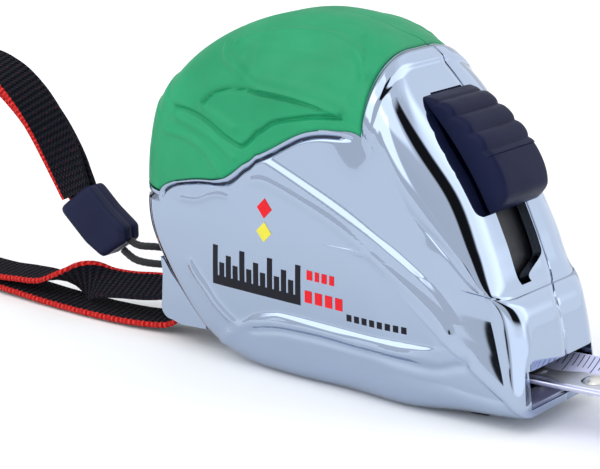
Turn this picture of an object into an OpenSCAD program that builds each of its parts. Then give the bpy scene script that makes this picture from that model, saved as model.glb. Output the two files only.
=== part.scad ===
// Pocket tape measure: chrome-plated case with rubber grip, thumb lock, finger brake and wrist strap.
// +X is the way the blade pulls out, +Z is up, +Y is the belt-clip side.
// The origin is on the flat underside, below the middle of the case.

/* [Case] */
// Wall thickness of the two case shells
wall = 1.8; // [1.4:0.1:2.2]
// Thickness of the rubber grip
grip_t = 1.6; // [1.2:0.1:2.0]
// Half width of the case at the middle of a side face
face_half = 18.8; // [18.4:0.1:19.4]
// Points taken between two neighbouring ribs of the case
rib_steps = 3; // [2:1:4]

/* [Blade] */
// Nominal width of the blade
blade_w = 19; // [18.6:0.1:19.4]
// Thickness of the blade, paint included
blade_t = 0.25; // [0.2:0.01:0.3]
// Radius of the hollow cross-section of the blade
blade_r = 16; // [14:0.5:20]
// Upward tilt of the blade as it leaves the mouth, in degrees
blade_tilt = 3; // [0:0.5:4]
// Length of blade that shows in front of the mouth
blade_out = 23; // [22:0.5:26]

/* [Reel] */
// Outer radius of the wound blade
coil_r = 24; // [22:0.5:24]
// Outer radius of the spring drum
drum_r = 14; // [12:0.5:15]

/* [Lock] */
// Width of the lock slot
slot_w = 9.6; // [9:0.1:10]
// Width of the thumb pad
pad_w = 15; // [13:0.5:16]
// Travel of the lock along its curved track, in degrees
lock_travel = 9.5; // [8:0.5:9.5]

/* [Hidden] */

// Ribs round the case, anticlockwise seen from the -Y side, from the foot of the nose. Each holds
// rim x, rim z, shoulder depth, flat half width, half width at the crease, share of the rib that
// the grip covers, and y of the seam between the shells.
RIBS = [
    [40.6, 4.0, 4.2, 9.5, 13.7, 0.30, 1.5], [39.7, 10.5, 5.0, 8.8, 13.5, 0.30, 1.5],
    [38.4, 16.5, 5.2, 8.4, 13.4, 0.30, 1.5], [36.6, 21.0, 4.4, 8.2, 13.6, 0.30, 1.5],
    [33.2, 23.9, 2.6, 8.6, 14.4, 0.30, 5.5], [30.2, 30.2, 4.2, 8.4, 15.8, 0.35, 5.5],
    [25.4, 38.7, 7.0, 7.9, 17.1, 0.40, 5.5], [19.3, 46.3, 8.0, 7.8, 17.8, 0.40, 5.5],
    [13.2, 53.3, 9.4, 7.4, 17.5, 0.42, 5.5], [8.0, 59.1, 12.4, 3.2, 16.4, 0.41, 3],
    [3.8, 61.5, 13.0, 2.0, 16.5, 0.44, 0], [-3.0, 63.0, 12.8, 1.8, 17.4, 0.50, 0],
    [-12.3, 63.0, 12.2, 2.0, 18.1, 0.65, 0], [-21.0, 60.8, 11.6, 2.6, 18.4, 0.69, 0],
    [-29.0, 56.8, 10.8, 2.9, 18.5, 0.71, 0], [-35.0, 51.8, 10.0, 3.2, 18.4, 0.70, 0],
    [-39.5, 45.5, 10.2, 3.7, 18.0, 0.64, 0], [-41.8, 38.0, 9.4, 4.0, 17.4, 0.49, 0],
    [-42.0, 29.8, 8.2, 4.5, 16.9, 0.26, 0], [-41.0, 24.0, 7.0, 5.8, 16.9, 0.30, 0],
    [-38.6, 19.0, 6.2, 7.2, 17.0, 0.30, 0], [-34.0, 13.2, 5.3, 7.8, 17.3, 0.30, 0],
    [-29.0, 8.0, 5.0, 8.9, 17.4, 0.30, 0], [-23.6, 3.2, 5.7, 9.6, 17.3, 0.30, 0],
    [-16.0, 0.0, 7.2, 9.6, 17.1, 0.30, 0], [-6.0, -0.2, 7.6, 10.8, 17.2, 0.30, 0],
    [6.0, -0.2, 8.4, 9.8, 16.9, 0.30, 0], [18.0, 0.0, 7.4, 10.4, 16.8, 0.30, 0.8],
    [28.0, 1.4, 6.6, 10.0, 15.6, 0.30, 1.5], [36.0, 2.3, 5.3, 10.2, 14.3, 0.30, 1.5],
    [39.6, 2.8, 4.7, 9.8, 13.6, 0.30, 1.5]];
GRIP_FROM = 9;
GRIP_TO = 18;
SPINE = [12, 27];
STEP_GAP = 0.04;

// Samples round the case: [position among the ribs, 1 under the grip or 0 outside it]
SAMPLES = concat(
    [for (i = [0 : GRIP_FROM * rib_steps - 1]) [i / rib_steps, 0]],
    [[GRIP_FROM - STEP_GAP, 0]],
    [for (i = [GRIP_FROM * rib_steps : GRIP_TO * rib_steps]) [i / rib_steps, 1]],
    [[GRIP_TO + STEP_GAP, 0]],
    [for (i = [GRIP_TO * rib_steps + 1 : len(RIBS) * rib_steps - 1]) [i / rib_steps, 0]]);
GRIP_SAMPLES = [for (s = SAMPLES) if (s[1] == 1) s];

// Catmull-Rom curve through the ribs
function mix4(a, b, c, d, t) =
    0.5 * (2 * b + (c - a) * t + (2 * a - 5 * b + 4 * c - d) * t * t + (3 * b - a - 3 * c + d) * t * t * t);
function rib(s) = let (n = len(RIBS), i = floor(s))
    mix4(RIBS[(i - 1 + n) % n], RIBS[i % n], RIBS[(i + 1) % n], RIBS[(i + 2) % n], s - i);

// Shape across one rib: inset along the rib and half width for ring k
RINGS = 9;
TILT = [0, 0, 25, 55, 82, 90, 90, 90, 90];
function rib_length(r) = norm([r[0] - max(-SPINE[0], min(SPINE[0], r[0])), r[1] - SPINE[1]]);
function rib_inward(r) = ([max(-SPINE[0], min(SPINE[0], r[0])), SPINE[1]] - [r[0], r[1]]) / rib_length(r);
function ring_inset(r, k, under) = let (l = rib_length(r), edge = r[5] * l)
    [0, 0, 0.14 * r[2], 0.45 * r[2], r[2], under ? edge : edge - 0.3, edge, 0.5 * (edge + l), 0.96 * l][k];
function half_width(r, inset) = let (l = rib_length(r), q = (inset - r[2]) / (l - r[2]))
    inset < r[2] ? r[3] + (r[4] - r[3]) * sqrt(1 - pow(1 - inset / r[2], 2))
        : r[4] + (face_half - r[4]) * (1 - pow(1 - q, 2));

// One point of a skin that lies `deep` inside the case surface. side is -1 or 1.
function skin(s, k, deep, side, under) = let (
        r = rib(s),
        inset = ring_inset(r, k, under) + deep * cos(TILT[k]),
        w = k == 0 ? side * r[6] : k == 1 ? r[3] : half_width(r, ring_inset(r, k, under)) - deep * sin(TILT[k]),
        p = [r[0], r[1]] + rib_inward(r) * inset)
    [p[0], side * w, p[1]];
function sunk(under, k) = under == 1 && k <= 5 ? grip_t : 0;

function flip(f, yes) = yes ? [for (i = [len(f) - 1 : -1 : 0]) f[i]] : f;
function strip(a, b, n, side) =
    [for (i = [0 : n - 1]) let (j = (i + 1) % n) each [flip([a + i, b + i, b + j], side > 0),
        flip([a + i, b + j, a + j], side > 0)]];

// Half of the case as one thin-walled solid
module half_shell(side) {
    n = len(SAMPLES);
    outer = [for (k = [0 : RINGS - 1]) each [for (q = SAMPLES) skin(q[0], k, sunk(q[1], k), side, q[1] == 1)]];
    inner = [for (k = [0 : RINGS - 1]) each [for (q = SAMPLES)
        skin(q[0], k, sunk(q[1], k) + wall, side, q[1] == 1)]];
    caps = [[0, side * face_half, SPINE[1]], [0, side * (face_half - wall), SPINE[1]]];
    m = n * RINGS;
    last = m - n;
    faces = concat(
        [for (k = [0 : RINGS - 2]) each strip(k * n, (k + 1) * n, n, side)],
        [for (k = [0 : RINGS - 2]) each strip(m + k * n, m + (k + 1) * n, n, -side)],
        [for (i = [0 : n - 1]) flip([last + i, 2 * m, last + (i + 1) % n], side > 0)],
        [for (i = [0 : n - 1]) flip([m + last + i, 2 * m + 1, m + last + (i + 1) % n], side < 0)],
        strip(0, m, n, -side));
    polyhedron(points = concat(outer, inner, caps), faces = faces, convexity = 8);
}

// Half of the grip: the covered part of the surface, grip_t thick
module half_grip(side) {
    n = len(GRIP_SAMPLES);
    rows = 6;
    top = [for (k = [0 : rows - 1]) each [for (q = GRIP_SAMPLES) skin(q[0], k, 0, side, true)]];
    low = [for (k = [0 : rows - 1]) each [for (q = GRIP_SAMPLES) skin(q[0], k, grip_t, side, true)]];
    m = n * rows;
    quads = concat(
        [for (k = [0 : rows - 2]) each [for (i = [0 : n - 2])
            [k * n + i, (k + 1) * n + i, (k + 1) * n + i + 1, k * n + i + 1]]],
        [for (k = [0 : rows - 2]) each [for (i = [0 : n - 2])
            [m + k * n + i, m + k * n + i + 1, m + (k + 1) * n + i + 1, m + (k + 1) * n + i]]],
        [for (i = [0 : n - 2]) [i, i + 1, m + i + 1, m + i]],
        [for (i = [0 : n - 2]) let (e = (rows - 1) * n) [e + i, m + e + i, m + e + i + 1, e + i + 1]],
        [for (k = [0 : rows - 2]) [k * n, m + k * n, m + (k + 1) * n, (k + 1) * n]],
        [for (k = [0 : rows - 2]) let (e = n - 1) [k * n + e, (k + 1) * n + e, m + (k + 1) * n + e, m + k * n + e]]);
    faces = [for (q = quads) each [flip([q[0], q[1], q[2]], side > 0), flip([q[0], q[2], q[3]], side > 0)]];
    polyhedron(points = concat(top, low), faces = faces, convexity = 8);
}

// A cylinder along Y between y0 and y1
module rod_y(x, z, r, y0, y1, fn = 48) {
    translate([x, y0, z]) rotate([-90, 0, 0]) cylinder(r = r, h = y1 - y0, $fn = fn);
}

// Everything below the rest plane, taken off so that the underside is flat
module below() { translate([-60, -30, -3]) cube([120, 60, 3]); }

// ---- case shells ----
// Screw x, screw z, and how far its bosses reach out from the middle plane, right and left
SCREWS = [[-28.6, 50.1, 10.0, 12.8], [-34.4, 21.4, 14.2, 14.6], [26.5, 16.0, 14.4, 14.6], [5.4, 54.9, 10.0, 11.8]];
BOSS_R = 2.6;
HEAD_R = 1.9;
SEAT = 2.2;
BOSS_MEET = 1;
REEL = [-8, 31.5];
POST_R = 3.2;
MOUTH_HALF = 10.5;
BRAKE = [26.5, 4.2, 7.6];

module mouth_cut() {
    translate([33, -MOUTH_HALF, 4.5]) cube([10, 2 * MOUTH_HALF, 6.4]);
}

module brake_cut() {
    translate([BRAKE[0] - BRAKE[1] - 0.2, -BRAKE[2] - 0.2, -1])
        cube([2 * BRAKE[1] + 0.4, 2 * BRAKE[2] + 0.4, 5.6]);
}

module right_shell() {
    color("silver")
    difference() {
        union() {
            half_shell(-1);
            for (b = SCREWS) rod_y(b[0], b[1], BOSS_R, -b[2], BOSS_MEET);
            rod_y(REEL[0], REEL[1], 5.2, -17.6, -11.4);
        }
        below();
        mouth_cut();
        brake_cut();
        slot_cut();
        for (b = SCREWS) rod_y(b[0], b[1], 1.1, 1.6 - b[2], BOSS_MEET + 1);
        rod_y(REEL[0], REEL[1], POST_R, -16, -11);
    }
}

module left_shell() {
    color("silver")
    difference() {
        union() {
            half_shell(1);
            for (b = SCREWS) rod_y(b[0], b[1], BOSS_R, BOSS_MEET, b[3]);
            rod_y(REEL[0], REEL[1], 5.2, 11.4, 17.6);
        }
        below();
        mouth_cut();
        brake_cut();
        slot_cut();
        for (b = SCREWS) {
            rod_y(b[0], b[1], 1.35, BOSS_MEET - 1, 22);
            rod_y(b[0], b[1], HEAD_R + 0.1, b[3] - SEAT, 22);
        }
        rod_y(REEL[0], REEL[1], POST_R, 11, 16);
        rod_y(REEL[0], REEL[1], 1.4, 15, 22);
    }
}

module right_grip() { color("mediumseagreen") half_grip(-1); }
module left_grip() {
    color("mediumseagreen")
    difference() {
        half_grip(1);
        for (b = SCREWS) rod_y(b[0], b[1], BOSS_R + 0.1, 6, 22);
    }
}

// ---- thumb lock: everything lies on arcs about TRACK ----
TRACK = [-26, 4];
TRACK_R = 62;
SLOT_LOW = 27.3 - lock_travel;
SLOT_HIGH = 50.8;

// A curved bar about TRACK from angle a0 to a1, radius r0 to r1, half width w
module track_bar(a0, a1, r0, r1, w) {
    translate([TRACK[0], w, TRACK[1]]) rotate([90, 0, 0]) linear_extrude(2 * w) intersection() {
        difference() {
            circle(r = r1, $fn = 240);
            circle(r = r0, $fn = 240);
        }
        polygon([[0, 0], 90 * [cos(a0), sin(a0)], 90 * [cos((a0 + a1) / 2), sin((a0 + a1) / 2)],
            90 * [cos(a1), sin(a1)]]);
    }
}
module slot_cut() { track_bar(SLOT_LOW, SLOT_HIGH, TRACK_R - 5, TRACK_R + 6, slot_w / 2); }

module lock_slider() {
    color("black")
    union() {
        track_bar(15.5, 50.5, TRACK_R - 4.2, TRACK_R - 2.6, 6.2);
        track_bar(14, 15.6, TRACK_R - 4.2, TRACK_R - 2.6, 2.6);
        track_bar(31.5, 49.5, TRACK_R - 2.7, TRACK_R + 1, slot_w / 2 - 0.25);
    }
}

// Height of the thumb pad above the track at angle a: a low top end, ridges, then a full lobe
function pad_rise(a) = let (q = (a - 29.4) / 21.6)
    1.3 + 5.2 * pow(max(0, sin(180 * pow(q, 0.72))), 0.55) * (1 - 0.45 * q)
    + (q > 0.36 && q < 0.97 ? 0.45 * cos(360 * (a - 37.4) / 3.3) * min(1, (q - 0.36) * 12) : 0);
module lock_thumb_pad() {
    n = 54;
    ys = [-1, -0.94, -0.8, -0.5, 0, 0.5, 0.8, 0.94, 1];
    fall = [0.55, 0.8, 0.94, 0.99, 1, 0.99, 0.94, 0.8, 0.55];
    m = len(ys);
    function at(i, h, y) = let (a = 29.6 + 21.2 * i / n, r = TRACK_R + h)
        [TRACK[0] + r * cos(a), y * pad_w / 2, TRACK[1] + r * sin(a)];
    top = [for (i = [0 : n]) each [for (j = [0 : m - 1]) at(i, 1 + (pad_rise(29.6 + 21.2 * i / n) - 1) * fall[j], ys[j])]];
    // the underside lifts at the top end, where the case swells
    under = [for (i = [0 : n]) 0.4 + 0.13 * max(0, 21.2 * i / n - 16.4)];
    low = [for (i = [0 : n]) each [at(i, under[i], -0.98), at(i, under[i], 0.98)]];
    t = (n + 1) * m;
    faces = concat(
        [for (i = [0 : n - 1]) each [for (j = [0 : m - 2]) each
            [[i * m + j, i * m + j + 1, (i + 1) * m + j + 1], [i * m + j, (i + 1) * m + j + 1, (i + 1) * m + j]]]],
        [for (i = [0 : n - 1]) let (a = t + 2 * i) each [[a, a + 2, a + 3], [a, a + 3, a + 1]]],
        [for (i = [0 : n - 1]) let (a = t + 2 * i, b = i * m) each [[b, b + m, a + 2], [b, a + 2, a]]],
        [for (i = [0 : n - 1]) let (a = t + 2 * i + 1, b = i * m + m - 1) each [[b, a + 2, b + m], [b, a, a + 2]]],
        [[for (j = [0 : m - 1]) m - 1 - j, t, t + 1]],
        [[for (j = [0 : m - 1]) n * m + j, t + 2 * n + 1, t + 2 * n]]);
    color([0.12, 0.13, 0.22]) difference() {
        polyhedron(points = concat(top, low), faces = faces, convexity = 6);
        track_bar(31.4, 49.6, TRACK_R - 2, TRACK_R + 1.02, slot_w / 2 - 0.2);
    }
}

// Leaf that clicks the slider into its two places
module lock_detent_spring() {
    color("gray") track_bar(33, 47, TRACK_R - 4.6, TRACK_R - 4.25, 2.5);
}

// ---- finger brake under the nose ----
module brake_button() {
    color([0.12, 0.13, 0.22])
    union() {
        intersection() {
            translate([BRAKE[0] - BRAKE[1], -BRAKE[2], 0]) cube([2 * BRAKE[1], 2 * BRAKE[2], 3.4]);
            translate([BRAKE[0], 0, 30]) rotate([90, 0, 0]) cylinder(r = 30, h = 30, center = true, $fn = 180);
        }
        translate([BRAKE[0] - BRAKE[1] - 1, -BRAKE[2] - 0.8, 3.35]) cube([2 * BRAKE[1] + 2, 2 * BRAKE[2] + 1.6, 0.6]);
    }
}
module brake_spring() {
    color("gray") for (y = [-7, 5]) translate([BRAKE[0] - 3, y, 3.95]) cube([6, 2, 0.3]);
}

// Steel strip that the blade slides over on its way out
module mouth_wear_plate() {
    color("lightgray") translate([35.4, -9.6, 4.5]) cube([4.4, 19.2, 0.35]);
}

// ---- reel ----
module spindle_post() {
    color("lightgray") difference() {
        rod_y(REEL[0], REEL[1], POST_R, -15.9, 15.9, 64);
        rod_y(REEL[0], REEL[1], 1.3, 11, 17);
        translate([REEL[0] - 0.35, -9, REEL[1]]) cube([0.7, 18, 4]);
    }
}
module reel_drum() {
    color("ivory") difference() {
        union() {
            rod_y(REEL[0], REEL[1], drum_r, -9.9, 9.9, 96);
            rod_y(REEL[0], REEL[1], coil_r + 0.2, -10.8, -9.9, 120);
        }
        rod_y(REEL[0], REEL[1], drum_r - 1.2, -9.8, 10.5, 96);
        rod_y(REEL[0], REEL[1], POST_R + 0.05, -12, 0, 64);
    }
}
module reel_cover_disc() {
    color("ivory") difference() {
        rod_y(REEL[0], REEL[1], coil_r + 0.2, 9.95, 10.8, 120);
        rod_y(REEL[0], REEL[1], POST_R + 0.05, 9, 12, 64);
    }
}
module mainspring() {
    turns = 4;
    steps = 24;
    function at(i, t) = let (a = 360 * i / steps, r = 4.6 + 7.4 * i / (turns * steps) + t) [r * cos(a), r * sin(a)];
    color("slategray") translate([REEL[0], 9, REEL[1]]) rotate([90, 0, 0]) linear_extrude(18)
        polygon(concat([for (i = [0 : turns * steps]) at(i, 0)], [for (i = [turns * steps : -1 : 0]) at(i, 0.35)]));
}
module tape_coil() {
    color("gold") difference() {
        rod_y(REEL[0], REEL[1], coil_r, -blade_w / 2, blade_w / 2, 160);
        rod_y(REEL[0], REEL[1], drum_r + 0.05, -11, 11, 96);
    }
}

// ---- blade and hook, drawn level at the mouth and then tilted ----
MOUTH = [39, 0, 6.2];
module at_mouth() { translate(MOUTH) rotate([0, -blade_tilt, 0]) children(); }
BLADE_BACK = 31;
BLADE_HALF = blade_w / 2 / blade_r * 180 / PI;

module tape_blade() {
    color("whitesmoke") at_mouth() difference() {
        translate([-BLADE_BACK, 0, 0]) rotate([90, 0, 90]) linear_extrude(BLADE_BACK + blade_out)
            translate([0, blade_r]) intersection() {
                difference() {
                    circle(r = blade_r, $fn = 200);
                    circle(r = blade_r - blade_t, $fn = 200);
                }
                polygon([[0, 0], 30 * [sin(BLADE_HALF), -cos(BLADE_HALF)], [0, -40],
                    30 * [-sin(BLADE_HALF), -cos(BLADE_HALF)]]);
            }
        for (x = RIVETS) translate([x, 0, -1]) cylinder(r = 1.0, h = 3, $fn = 32);
    }
}
RIVETS = [-4, 7, 18];
module blade_rivets() {
    color("silver") at_mouth() for (x = RIVETS) translate([x, 0, 0]) {
        translate([0, 0, -0.1]) cylinder(r = 0.98, h = 1.7, $fn = 32);
        translate([0, 0, 1.54]) intersection() {
            cylinder(r = 2.1, h = 0.9, $fn = 48);
            translate([0, 0, -2.2]) sphere(r = 3.05, $fn = 48);
        }
        translate([0, 0, -0.7]) cylinder(r1 = 1.2, r2 = 1.7, h = 0.69, $fn = 48);
    }
}
module end_hook() {
    color("silver") at_mouth() difference() {
        union() {
            translate([-6.5, -3.8, 0.76]) cube([31.2, 7.6, 0.75]);
            translate([blade_out + 0.6, -8, -5.4]) cube([1.2, 16, 8.6]);
        }
        for (x = RIVETS) for (d = [-0.55, 0.55]) translate([x + d, 0, 0]) cylinder(r = 1.04, h = 3, $fn = 32);
        for (x = RIVETS) translate([x - 0.55, -1.04, 0]) cube([1.1, 2.08, 3]);
    }
}

// ---- screws, belt clip and strap fittings ----
module pan_screw(x, z, y_head, length, head_r, shank_r) {
    difference() {
        union() {
            rod_y(x, z, head_r, y_head - 1.2, y_head);
            rod_y(x, z, shank_r, y_head - length, y_head - 1.1);
        }
        translate([x, y_head, z]) for (t = [0, 90]) rotate([0, t, 0]) cube([0.6, 1.4, 2.6], center = true);
    }
}
module case_screws() {
    color("dimgray") for (b = SCREWS) pan_screw(b[0], b[1], b[3] - SEAT + 1.2, 17, HEAD_R, 1.05);
}
// Spring clip for a belt, screwed to the end of the spindle post
CLIP_W = 14;
CLIP_GAP = 5.2;
module belt_clip() {
    x = REEL[0] - CLIP_W / 2;
    z = REEL[1];
    y = face_half;
    color("silver") difference() {
        union() {
            translate([x, y, z - 7]) cube([CLIP_W, 1, 14]);
            translate([x, y, z + 6]) cube([CLIP_W, CLIP_GAP + 2, 1]);
            translate([x, y + CLIP_GAP + 1, z - 22]) cube([CLIP_W, 1, 29]);
            translate([x, y + CLIP_GAP + 1.5, z - 22]) rotate([0, 90, 0]) cylinder(r = 0.9, h = CLIP_W, $fn = 32);
        }
        rod_y(REEL[0], REEL[1], 1.4, 15, 21);
        rod_y(REEL[0], REEL[1], 3.4, y + 2, 26);
    }
}
module belt_clip_screw() {
    color("dimgray") pan_screw(REEL[0], REEL[1], face_half + 2.2, 9, 2.6, 1.25);
}

// ---- strap fittings ----
BAR = [-33.6, 6.8];
BAR_R = 1.2;
LUG_OUT = 13.5;
LUG_IN = 11;
module strap_bracket() {
    color("silver") difference() {
        union() {
            for (y = [-LUG_IN, LUG_OUT]) translate([0, y, 0]) rotate([90, 0, 0])
                linear_extrude(LUG_OUT - LUG_IN) difference() {
                    union() {
                        polygon([[-36.4, 15.8], [-35.8, 13], [-35.8, 7], [-33.8, 4.6], [-31.2, 4], [-25.4, 4.4],
                            [-28, 12]]);
                        translate(BAR) circle(r = 2.3, $fn = 64);
                    }
                    polygon([[-38.5, 19.1], [-33.9, 13.3], [-28.9, 8.1], [-23.5, 3.2], [-10, 3.5], [-38, 30]]);
                }
            translate([0, LUG_IN + 0.01, 0]) rotate([90, 0, 0]) linear_extrude(2 * LUG_IN + 0.02)
                polygon([[-36.0, 15.42], [-34.16, 13.05], [-29.16, 7.84], [-29.85, 7.15], [-34.95, 12.35], [-36.75, 14.75]]);
        }
        rod_y(BAR[0], BAR[1], BAR_R, -20, 20);
    }
}
module strap_bar() { color("dimgray") rod_y(BAR[0], BAR[1], BAR_R, -LUG_OUT, LUG_OUT); }

// ---- wrist strap ----
WEB_W = 8;
WEB_T = 1.1;
CORD_D = 1.5;
LAYER_GAP = 0.95;

// Routes are lists of x, y, z and the direction across the webbing.
// The stretch where the two layers lie together, from the bracket end to the clasp
PAIR_ROUTE = [
    [-80, -9.6, 2.7, 0, 1, 0.1], [-90, -9.5, 3.6, 0, 1, 0], [-99, -8.5, 8, 0, 1, 0],
    [-105.5, -8, 16, 0, 1, 0], [-107.5, -7.5, 25, 0, 1, 0], [-104.5, -7, 34, 0, 1, 0],
    [-97.5, -6.5, 40.5, 0, 1, 0.1], [-89, -6, 42.8, 0.1, 1, 0.25], [-82, -6, 41.4, 0.2, 0.9, 0.4],
    [-76, -6, 37.8, 0.4, 0.75, 0.5], [-71, -6, 33.1, 0.55, 0.6, 0.55], [-66.8, -6, 27.8, 0.7, 0.4, 0.6],
    [-64.2, -6, 23.8, 0.75, 0.15, 0.62], [-62.7, -6, 21.4, 0.77, 0, 0.64]];
// Upper layer from the strap bar to the shared stretch, with half a twist, and lower layer the same way
UPPER_ROUTE = [
    [-31.65, -6.6, 6.8, 0, 1, 0], [-32.2, -6.6, 8.2, 0, 1, 0], [-33.6, -6.6, 8.75, 0, 1, 0],
    [-35.6, -6.6, 8.6, 0, 1, 0.1], [-38.4, -7.2, 8.1, 0, 0.95, 0.3], [-43, -8, 7.5, 0, 0.9, 0.42],
    [-49, -8.6, 6.7, 0, 0.9, 0.42], [-54, -8.8, 6.1, 0, 0.8, 0.6], [-58, -8.9, 5.6, 0, 0, 1],
    [-62, -9.1, 5.1, 0, -0.8, 0.6], [-67, -9.3, 4.6, 0, -1, 0], [-73, -9.5, 4.1, 0, -1, -0.1]];
LOWER_ROUTE = [
    [-31.65, -6.6, 6.7, 0, 1, 0], [-32.2, -6.6, 5.3, 0, 1, 0], [-33.4, -6.6, 4.2, 0, 1, 0],
    [-35.2, -6.7, 3.1, 0, 1, 0], [-38, -7.4, 2.1, 0, 1, 0.1], [-45, -8.8, 1.5, 0, 1, 0.1],
    [-54, -9.6, 1.3, 0, 1, 0.1], [-64, -9.8, 1.3, 0, 1, 0.1], [-72, -9.7, 1.5, 0, 1, 0.1]];
CORD_ROUTE = [
    [-51.6, -6, 12.4], [-48.4, -5.6, 10.9], [-44, -3.6, 10.6], [-39.6, 0, 10.8], [-36, 3.6, 10],
    [-33.6, 4.4, 8.85], [-32.15, 4.6, 8.25], [-31.55, 4.8, 6.8], [-32.15, 5, 5.35], [-33.6, 5.2, 4.75],
    [-35.3, 5.6, 5.6], [-37.4, 5.4, 8.2], [-40.4, 2, 11.8], [-44.6, -3, 13.6], [-48, -5.6, 13.9], [-50.4, -6, 14.8]];

function unit(v) = v / norm(v);
function xyz(p) = [p[0], p[1], p[2]];
function across(p) = [p[3], p[4], p[5]];
// Smooth curve through a route, with `steps` points to each stretch
function smooth(route, steps) = let (n = len(route)) concat(
    [for (i = [0 : n - 2]) each [for (t = [0 : steps - 1])
        mix4(route[max(0, i - 1)], route[i], route[i + 1], route[min(n - 1, i + 2)], t / steps)]],
    [route[n - 1]]);
function tangent(p, i) = unit(xyz(p[min(len(p) - 1, i + 1)]) - xyz(p[max(0, i - 1)]));
// Direction across the webbing, square to the route, and the direction through its thickness
function width_way(p, i) = let (t = tangent(p, i), w = across(p[i])) unit(w - (w * t) * t);
function thick_way(p, i) = cross(tangent(p, i), width_way(p, i));
function layer(route, side, turned) = [for (i = [0 : len(route) - 1])
    concat(xyz(route[i]) + side * LAYER_GAP * thick_way(route, i), turned * across(route[i]))];

// Sweep of an outline given as [width, thickness] pairs
module sweep(path, ring) {
    n = len(path);
    m = len(ring);
    pts = [for (i = [0 : n - 1]) let (w = width_way(path, i), h = thick_way(path, i)) each
        [for (q = ring) xyz(path[i]) + q[0] * w + q[1] * h]];
    polyhedron(points = pts, convexity = 10, faces = concat(
        [for (i = [0 : n - 2]) each [for (j = [0 : m - 1]) let (k = (j + 1) % m)
            each [[i * m + j, (i + 1) * m + j, (i + 1) * m + k], [i * m + j, (i + 1) * m + k, i * m + k]]]],
        [[for (j = [0 : m - 1]) j]], [[for (j = [m - 1 : -1 : 0]) (n - 1) * m + j]]));
}
WEB_RING = let (w = WEB_W / 2, t = WEB_T / 2) [[w, -0.4 * t], [w, 0.4 * t], [w - 0.35, t], [0.35 - w, t],
    [-w, 0.4 * t], [-w, -0.4 * t], [0.35 - w, -t], [w - 0.35, -t]];
module strap_webbing_upper() {
    color("black") sweep(smooth(concat(UPPER_ROUTE, layer(PAIR_ROUTE, -1, -1)), 2), WEB_RING);
}
module strap_webbing_lower() {
    color("black") sweep(smooth(concat(LOWER_ROUTE, layer(PAIR_ROUTE, 1, 1)), 2), WEB_RING);
}
module strap_cord() {
    color("black") sweep(smooth([for (p = CORD_ROUTE) concat(p, [0.3, 1, 0.2])], 2),
        [for (a = [0 : 45 : 315]) CORD_D / 2 * [cos(a), sin(a)]]);
}
// Moulded clasp that holds both ends of the webbing and of the cord
module strap_clasp() {
    color([0.12, 0.13, 0.22]) translate([0, -3.4, 0]) rotate([90, 0, 0]) linear_extrude(5.2)
        polygon([[-66.4, 18.0], [-58.9, 24.5], [-54.2, 20.6], [-49.2, 17.6], [-49.0, 14.6], [-54.9, 10.2],
            [-59.4, 12.4]]);
}

right_shell();
left_shell();
right_grip();
left_grip();
lock_slider();
lock_thumb_pad();
lock_detent_spring();
brake_button();
brake_spring();
mouth_wear_plate();
spindle_post();
reel_drum();
reel_cover_disc();
mainspring();
tape_coil();
tape_blade();
blade_rivets();
end_hook();
case_screws();
belt_clip();
belt_clip_screw();
strap_bracket();
strap_bar();
strap_webbing_upper();
strap_webbing_lower();
strap_clasp();
strap_cord();
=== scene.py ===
import math

import bmesh
import bpy
import numpy as np
from mathutils import Matrix, Vector
from mathutils.bvhtree import BVHTree


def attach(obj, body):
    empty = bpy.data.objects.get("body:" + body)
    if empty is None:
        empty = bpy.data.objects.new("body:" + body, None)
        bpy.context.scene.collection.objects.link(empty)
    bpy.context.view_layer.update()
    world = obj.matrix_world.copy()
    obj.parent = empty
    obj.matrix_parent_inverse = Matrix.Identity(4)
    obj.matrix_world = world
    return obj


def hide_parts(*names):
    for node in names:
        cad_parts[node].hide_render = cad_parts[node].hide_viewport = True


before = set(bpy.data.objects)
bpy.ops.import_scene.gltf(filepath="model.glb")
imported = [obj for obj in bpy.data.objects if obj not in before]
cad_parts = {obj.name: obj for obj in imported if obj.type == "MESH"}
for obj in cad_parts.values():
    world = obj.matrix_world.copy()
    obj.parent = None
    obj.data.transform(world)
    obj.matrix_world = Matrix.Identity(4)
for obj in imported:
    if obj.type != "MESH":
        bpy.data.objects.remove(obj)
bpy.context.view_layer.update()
MM = 0.001

# ---------------------------------------------------------------- camera
CAMERA_AZ, CAMERA_EL, CAMERA_ROLL = math.radians(35.5), math.radians(15.8), math.radians(2.3)
CAMERA_PLACE, CAMERA_LENS, CAMERA_SENSOR = (0.20618, -0.31035, 0.12923), 132, 36


def make_camera():
    back = Vector((math.sin(CAMERA_AZ) * math.cos(CAMERA_EL), -math.cos(CAMERA_AZ) * math.cos(CAMERA_EL),
                   math.sin(CAMERA_EL)))
    level_right = Vector((math.cos(CAMERA_AZ), math.sin(CAMERA_AZ), 0))
    level_up = back.cross(level_right)
    right = level_right * math.cos(CAMERA_ROLL) + level_up * math.sin(CAMERA_ROLL)
    up = level_up * math.cos(CAMERA_ROLL) - level_right * math.sin(CAMERA_ROLL)
    cam = bpy.data.objects.new("camera", bpy.data.cameras.new("camera"))
    bpy.context.scene.collection.objects.link(cam)
    cam.data.sensor_width, cam.data.lens = CAMERA_SENSOR, CAMERA_LENS
    cam.data.clip_start, cam.data.clip_end = 0.01, 20
    cam.matrix_world = Matrix.Translation(CAMERA_PLACE) @ Matrix((right, up, back)).transposed().to_4x4()
    bpy.context.scene.camera = cam


make_camera()


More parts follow.
